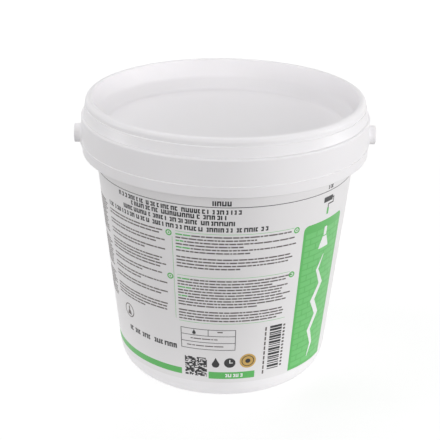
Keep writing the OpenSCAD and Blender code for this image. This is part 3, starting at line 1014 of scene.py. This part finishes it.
ink("print_seal_ring", seal_ring, dark_ink, 1)
ink("print_band_words", heading(*BAND_HEADING), white_ink, 1)
ink("print_stamp", stamp, grey_ink)

# %% [markdown]
# ## The green field
# On the right of the view the film carries a tall green field. On it a white crack runs down a
# brick wall in a paler green, and a filling knife waits above it. A paint roller over the field
# says that the mended wall can be painted.

# %% Green field with crack and knife
BRICK_W, BRICK_H, JOINT, LEAST_BRICK = 6.6, 2.5, 0.55, 0.8
FIELD_STEPS = 6


def field(left, right, low, high, r):
    """A field with rounded corners at the top."""
    k = per_mm((low + high) / 2)
    turns = [math.pi / 2 * i / FIELD_STEPS for i in range(FIELD_STEPS + 1)]
    rise = [(left + r * (1 - math.cos(t)) * k, low, high - r * (1 - math.sin(t))) for t in turns]
    fall = [(left + right - u, low, top) for u, low, top in reversed(rise)]
    return uprights(rise + fall)


def brickwork(left, right, low, high):
    """Rows of bricks in running bond between two angles."""
    shapes, row, z = [], 0, low
    while z + BRICK_H <= high:
        k = per_mm(z)
        u = left - (row % 2) * (BRICK_W + JOINT) / 2 * k
        while u < right:
            a, b = max(left, u), min(right, u + BRICK_W * k)
            if b - a > LEAST_BRICK:
                shapes.append(bar(a, b, z, z + BRICK_H))
            u += (BRICK_W + JOINT) * k
        z += BRICK_H + JOINT
        row += 1
    return shapes


LONG_CRACK = ((27, 1.2, 0.4), (20, -2.0, 1.8), (12, 2.2, 2.8), (4, -2.4, 3.2), (-4, 2.2, 3.0),
              (-12, -2.0, 2.6), (-20, 1.4, 1.8), (-27, -0.6, 0.4))
# A field has its left, right, low and high sides and the rounding of its upper corners. A picture
# has its place, and then its size.
FIELD, FIELD_BRICKS = (36.3, 64.8, 11.6, 87, 2.5), (37.8, 63, 13.2, 84)
CRACK, KNIFE, ROLLER = (51, 42), (51, 78, 1.9), (50.5, 94.2, 1.15)
SIDE_HEADING = (48.4, 53.6, 103.0, 1.7)
ink("print_field_right", [field(*FIELD)], green_ink)
ink("print_bricks_right", brickwork(*FIELD_BRICKS), pale_green_ink, 1)
ink("print_crack_right", [crack(*CRACK, LONG_CRACK)] + knife(*KNIFE), white_ink, 3)
ink("print_roller", blocks(*ROLLER, (ROLLER_SLEEVE,) + ROLLER_WIRE), dark_ink)
ink("print_roller_grip", blocks(*ROLLER, (ROLLER_GRIP,)), green_ink)
ink("print_side_heading", heading(*SIDE_HEADING), dark_ink)

# %% [markdown]
# ## The far side
# The photograph does not show the other side of the film. It gets a plain front of the same
# family: a wide green field with a brick wall, a smear of filler over it and a knife.

# %% Generic face on the far side of the film
PATCH_FULLNESS, RIPPLE, RIPPLE_STEP = 0.6, 0.18, 0.55


def patch(u, z, width, height):
    """A smear of filler with an uneven edge."""
    columns = []
    for k in range(RING_STEPS + 1):
        t = math.pi * (RING_FROM + RING_SPAN * k / RING_STEPS)
        swell = math.sin(t) ** PATCH_FULLNESS
        ripple = RIPPLE * noise.noise(Vector((k * RIPPLE_STEP, z, 0)))
        columns.append((-width / 2 * math.cos(t), -height / 2 * swell * (1 - ripple),
                        height / 2 * swell * (1 + ripple)))
    return at(u, z, columns)


# The smear has its place, width and height.
FAR_FIELD, FAR_BRICKS = (86, 150, 40, 96, 6), (90, 146, 58, 91)
FAR_PATCH, FAR_KNIFE = (112, 77, 30, 15), (137, 74, 3.2)
FAR_TITLES, FAR_HEADING = ((91, 146, 52.0, 4.0), (91, 146, 45.5, 3.0)), (87, 150, 34.5, 2.4)
FAR_COLUMN = (87, 149, 30.0, 1.6, ((3, 1, 0), (3, 0, 0)))
far_title = [shape for line in FAR_TITLES for shape in heading(*line)]
far_words = small_print(*FAR_COLUMN)[0]
ink("print_field_far", [field(*FAR_FIELD)], green_ink)
ink("print_bricks_far", brickwork(*FAR_BRICKS), pale_green_ink, 1)
ink("print_patch_far", [patch(*FAR_PATCH)] + knife(*FAR_KNIFE), white_ink, 2)
ink("print_words_far", far_title, white_ink, 1)
ink("print_headings_far", heading(*FAR_HEADING), dark_ink)
ink("print_plain_far", far_words, grey_ink)

# %% [markdown]
# ## Floor and background
# The photograph has a pure white ground. The floor and the world are white to the camera, and to
# reflections, at about full strength. To all other light the world is a dim studio, and the floor
# is a grey sheet with a bright spot round the tub, as a small white table would throw light back up,
# so the object is not flooded. A part of what the camera sees of the floor is ordinary diffuse
# paint, which keeps the soft shadow at the foot.

# %% World
WORLD_LEVEL = 0.29
scene = bpy.context.scene
scene.view_settings.view_transform = "Standard"


def seen_directly(tree):
    """One where a ray comes from the camera, a reflection or glass, and zero elsewhere."""
    path = add_node(tree, "ShaderNodeLightPath")
    either = add_node(tree, "ShaderNodeMath", {0: path.outputs["Is Camera Ray"],
                                               1: path.outputs["Is Glossy Ray"]},
                      operation="MAXIMUM")
    return add_node(tree, "ShaderNodeMath", {0: either.outputs[0],
                                             1: path.outputs["Is Transmission Ray"]},
                    operation="MAXIMUM").outputs[0]


world = bpy.data.worlds.new("studio")
world.use_nodes = True
scene.world = world
tree = world.node_tree
tree.nodes.clear()
dim = add_node(tree, "ShaderNodeBackground", {"Color": linear("#FFFFFF"), "Strength": WORLD_LEVEL})
white = add_node(tree, "ShaderNodeBackground", {"Color": linear("#FFFFFF"), "Strength": 1.0})
both = add_node(tree, "ShaderNodeMixShader",
                {0: seen_directly(tree), 1: dim.outputs[0], 2: white.outputs[0]})
add_node(tree, "ShaderNodeOutputWorld", {0: both.outputs[0]})
print("world:", world.name, "at a level of", WORLD_LEVEL)

# %% Floor paint
# Distances from the tub, in metres, between which the floor's glow rises, and the glowing spot of
# painted light that stands in for a white table fades out.
GLOW_FROM, GLOW_TO, TABLE_FROM, TABLE_TO = 0.3, 0.9, 0.06, 0.14
NEAR_GLOW, FAR_GLOW, TABLE_GLOW, FLOOR_SHADE = 0.78, 1.0, 0.5, 0.3
floor_paint = bpy.data.materials.new("matt_white_floor_paint")
floor_paint.use_nodes = True
tree = floor_paint.node_tree
tree.nodes.clear()
plain_paint = add_node(tree, "ShaderNodeBsdfDiffuse", {"Color": linear("#7C7C7C")})
shade_paint = add_node(tree, "ShaderNodeBsdfDiffuse", {"Color": [FLOOR_SHADE] * 3 + [1]})
spot = add_node(tree, "ShaderNodeTexCoord").outputs["Object"]
away = add_node(tree, "ShaderNodeVectorMath", {0: spot}, operation="LENGTH").outputs["Value"]
ground = add_node(tree, "ShaderNodeMapRange",
                  {0: away, 1: GLOW_FROM, 2: GLOW_TO, 3: NEAR_GLOW, 4: FAR_GLOW})
glow = add_node(tree, "ShaderNodeEmission", {"Strength": ground.outputs[0]})
lit = add_node(tree, "ShaderNodeAddShader", {0: shade_paint.outputs[0], 1: glow.outputs[0]})
# Painted light: a glowing spot on the floor round the tub, seen only by rays that are not from the
# camera, reflections or glass. It stands in for light thrown up by a white table.
near = add_node(tree, "ShaderNodeMapRange",
                {0: away, 1: TABLE_FROM, 2: TABLE_TO, 3: TABLE_GLOW, 4: 0})
table = add_node(tree, "ShaderNodeEmission", {"Strength": near.outputs[0]})
paint_and_glow_spot = add_node(tree, "ShaderNodeAddShader", {0: plain_paint.outputs[0], 1: table.outputs[0]})
both = add_node(tree, "ShaderNodeMixShader",
                {0: seen_directly(tree), 1: paint_and_glow_spot.outputs[0], 2: lit.outputs[0]})
add_node(tree, "ShaderNodeOutputMaterial", {0: both.outputs[0]})
print("material:", floor_paint.name)

# %% Floor
FLOOR_HALF = 6.0
floor_mesh = bpy.data.meshes.new("studio_floor")
floor_mesh.from_pydata([(-FLOOR_HALF, -FLOOR_HALF, 0), (FLOOR_HALF, -FLOOR_HALF, 0),
                        (FLOOR_HALF, FLOOR_HALF, 0), (-FLOOR_HALF, FLOOR_HALF, 0)],
                       [], [(0, 1, 2, 3)])
floor_mesh.materials.append(floor_paint)
studio_floor = bpy.data.objects.new("studio_floor", floor_mesh)
scene.collection.objects.link(studio_floor)
print("floor:", 2 * FLOOR_HALF, "m wide")

# %% [markdown]
# ## Lamps
# Two clues in the photograph place the lamps. The wall just below the collar is hardly shaded, so
# the light in front comes in low; and the inside of the lid is bright, so there are large
# softboxes high up, to the left and behind. Small ones beside the tub light the two sides, and
# the right gets more than the left. Each lamp was rendered alone once and the shares were worked
# out from that, because light adds up, and then nudged. Area lamps give the soft edges of a
# product shot.

# %% Place the softboxes
AIM, LAMP_AWAY = Vector((0, 0, 0.08)), 1.4
SMALL, MIDDLE, LARGE = 0.35, 0.5, 0.7
# A softbox has a name, degrees right of the front and above the floor, a size in metres and watts.
SOFTBOXES = (
    ("front_softbox", 0, 15, MIDDLE, 5.3),
    ("front_right_softbox", 45, 15, MIDDLE, 4.8),
    ("low_right_softbox", 90, 4, SMALL, 6.7),
    ("low_left_softbox", -90, 4, SMALL, 5.3),
    ("upper_left_softbox", -90, 60, LARGE, 3.4),
    ("upper_rear_softbox", 180, 60, LARGE, 4.5),
)


def softbox(name, place, size, watts):
    """A square area lamp that faces the tub."""
    lamp = bpy.data.lights.new(name, "AREA")
    lamp.shape = "SQUARE"
    lamp.size = size
    lamp.energy = watts
    obj = bpy.data.objects.new(name, lamp)
    obj.location = place
    obj.rotation_euler = (AIM - Vector(place)).to_track_quat("-Z", "Y").to_euler()
    obj.visible_camera = False
    scene.collection.objects.link(obj)


def round_the_tub(around, above):
    """A place LAMP_AWAY from the tub, so many degrees right of the front and above the floor."""
    a, e = math.radians(around), math.radians(above)
    way = Vector((math.sin(a) * math.cos(e), -math.cos(a) * math.cos(e), math.sin(e)))
    return AIM + LAMP_AWAY * way


for name, around, above, size, watts in SOFTBOXES:
    softbox(name, round_the_tub(around, above), size, watts)
    print(f"{name}: {size} m square, {watts} W")

# %% [markdown]
# ## Camera
# The camera was found by fitting circles of the tub to the photograph: it stands a little under
# 0.6 m away and slightly left of the middle, looks down by about 23 degrees and has a long lens,
# so near things are drawn only a little larger than far ones. The picture is 440 pixels square.

# %% Set the camera
IMAGE_PX, FOCAL_PX, SENSOR_MM = 440, 1195.49, 36.0
PITCH, YAW, ROLL = (math.radians(a) for a in (22.758, 1.203, 0.866))
CAMERA_AT = Vector((-12.897, -526.677, 291.674))
ahead = Vector((math.sin(YAW) * math.cos(PITCH), math.cos(YAW) * math.cos(PITCH), -math.sin(PITCH)))
right = Vector((math.cos(YAW), -math.sin(YAW), 0))
up = right.cross(ahead)
tilted_right = right * math.cos(ROLL) + up * math.sin(ROLL)
tilted_up = up * math.cos(ROLL) - right * math.sin(ROLL)
lens = bpy.data.cameras.new("product_camera")
lens.sensor_width = SENSOR_MM
lens.lens = FOCAL_PX / IMAGE_PX * SENSOR_MM
camera = bpy.data.objects.new("product_camera", lens)
turn = Matrix((tilted_right, tilted_up, -ahead)).transposed().to_4x4()
camera.matrix_world = Matrix.Translation(CAMERA_AT * MM) @ turn
scene.collection.objects.link(camera)
scene.camera = camera
print("lens, mm:", round(lens.lens, 2))
